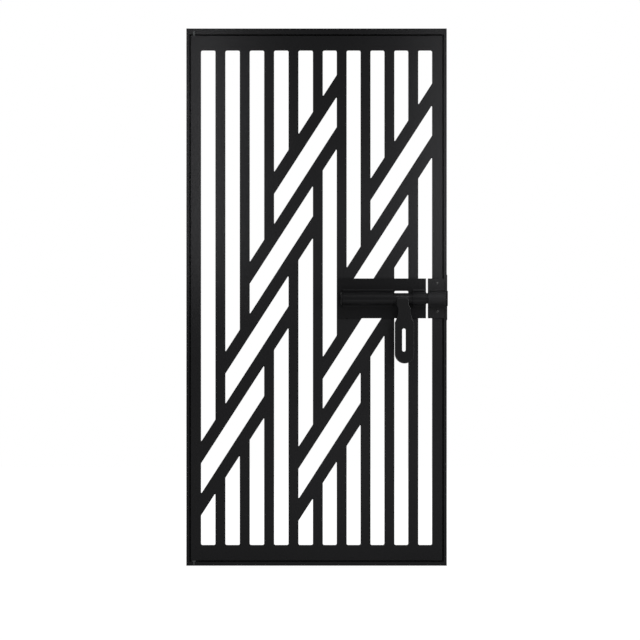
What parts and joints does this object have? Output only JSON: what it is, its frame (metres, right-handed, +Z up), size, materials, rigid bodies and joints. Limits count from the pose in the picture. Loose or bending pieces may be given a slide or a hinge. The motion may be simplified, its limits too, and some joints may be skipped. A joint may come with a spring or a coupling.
{
  "type": "steel security screen door",
  "caption": "Barred steel security door leaf of upright and diagonal tubes in a slim fixed frame, hung on hidden pivots, with a slide bolt in barrels and a hanging slotted hasp.",
  "frame": {"origin": "middle of the sill's underside, at half the frame's depth", "axes": "+Z up, +X towards the lock side as seen from the front, -Y out of the front face, towards which the leaf opens"},
  "size_m": [1.002, 0.122, 2.063],
  "materials": {
    "frame_black": "satin black paint",
    "lock_black": "satin black paint, a little glossier than the frame",
    "forged_black": "thin semi-gloss black paint over smooth forged steel",
    "pivot_steel": "turned steel, blackened and greased"
  },
  "bodies": {
    "frame": {"hinge_jamb": "frame_black", "lock_jamb": "frame_black", "head": "frame_black", "sill": "frame_black", "hinge_stop": "frame_black", "lock_stop": "frame_black", "head_stop": "frame_black", "sill_stop": "frame_black", "upper_pivot_pin": "pivot_steel", "lower_pivot_pin": "pivot_steel", "thrust_washer": "pivot_steel", "strike_plate": "lock_black"},
    "leaf": {"hinge_stile": "frame_black", "lock_stile": "frame_black", "top_rail": "frame_black", "bottom_rail": "frame_black", "vertical_bar_1": "frame_black", "vertical_bar_2": "frame_black", "vertical_bar_3": "frame_black", "vertical_bar_4": "frame_black", "vertical_bar_5": "frame_black", "vertical_bar_6": "frame_black", "vertical_bar_7": "frame_black", "vertical_bar_8": "frame_black", "vertical_bar_9": "frame_black", "left_diagonal_1": "frame_black", "left_diagonal_2": "frame_black", "left_diagonal_3": "frame_black", "left_diagonal_4": "frame_black", "left_diagonal_5": "frame_black", "right_diagonal_1": "frame_black", "right_diagonal_2": "frame_black", "right_diagonal_3": "frame_black", "right_diagonal_4": "frame_black", "right_diagonal_5": "frame_black", "lock_plate": "lock_black", "long_barrel": "lock_black", "short_barrel": "lock_black", "barrel_cap": "lock_black", "keeper": "frame_black", "upper_rivet": "forged_black", "lower_rivet": "forged_black"},
    "bolt": {"bolt_rod": "lock_black"},
    "hasp": {"hasp": "forged_black"}
  },
  "joints": [
    {"name": "leaf_hinge", "type": "hinge", "parent": "frame", "child": "leaf", "pos_m": [-0.4712, -0.026, 0], "axis": [0, 0, -1], "range_deg": [0, 100]},
    {"name": "bolt_slide", "type": "slide", "parent": "leaf", "child": "bolt", "axis": [1, 0, 0], "range_m": [0, 0.013]},
    {"name": "hasp_hinge", "type": "hinge", "parent": "bolt", "child": "hasp", "pos_m": [0.336, -0.063, 1.0266], "axis": [-1, 0, 0], "range_deg": [0, 150]}
  ]
}
